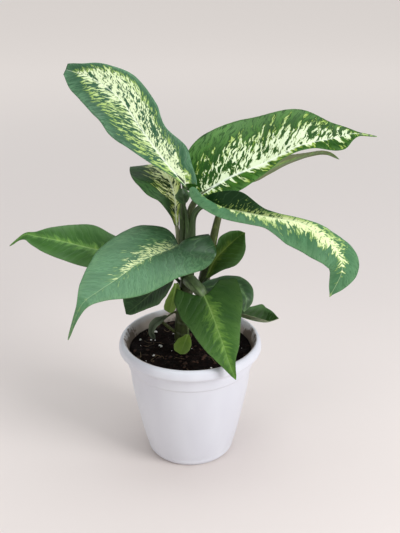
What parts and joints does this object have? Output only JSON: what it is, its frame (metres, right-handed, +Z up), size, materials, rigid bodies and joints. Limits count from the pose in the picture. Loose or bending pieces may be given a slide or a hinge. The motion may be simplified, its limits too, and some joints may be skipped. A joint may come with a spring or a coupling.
{
  "type": "potted dieffenbachia",
  "caption": "Potted dieffenbachia: variegated, arching leaves on short canes, rooted in dark potting mix in a round tapered nursery pot with a rolled rim.",
  "frame": {"origin": "centre of the pot's flat base, on the surface it stands on", "axes": "+Z up along the pot's axis, +X to the right and +Y away from a viewer who faces the hanging front leaf"},
  "size_m": [0.3726, 0.1716, 0.4072],
  "materials": {
    "pot_plastic": "satin",
    "potting_mix": "matte",
    "stem": "satin",
    "leaf": "satin",
    "young_leaf": "satin",
    "dry_leaf": "matte"
  },
  "bodies": {
    "root": {"pot": "pot_plastic", "potting_soil": "potting_mix", "main_stem": "stem", "side_stem": "stem", "old_leaf_stub": "stem", "leaf_mid_left": "leaf", "leaf_upper_left": "leaf", "leaf_upper_right": "leaf", "leaf_drooping_right": "leaf", "leaf_behind_right": "leaf", "leaf_front_left": "leaf", "leaf_far_left": "leaf", "leaf_front_hanging": "leaf", "leaf_right_upright": "leaf", "leaf_right_curled": "leaf", "leaf_right_low": "leaf", "leaf_left_low": "leaf", "young_leaf_yellow_green": "young_leaf", "young_leaf_round": "young_leaf", "withered_leaf": "dry_leaf", "new_leaf_unrolling": "leaf"}
  },
  "joints": []
}
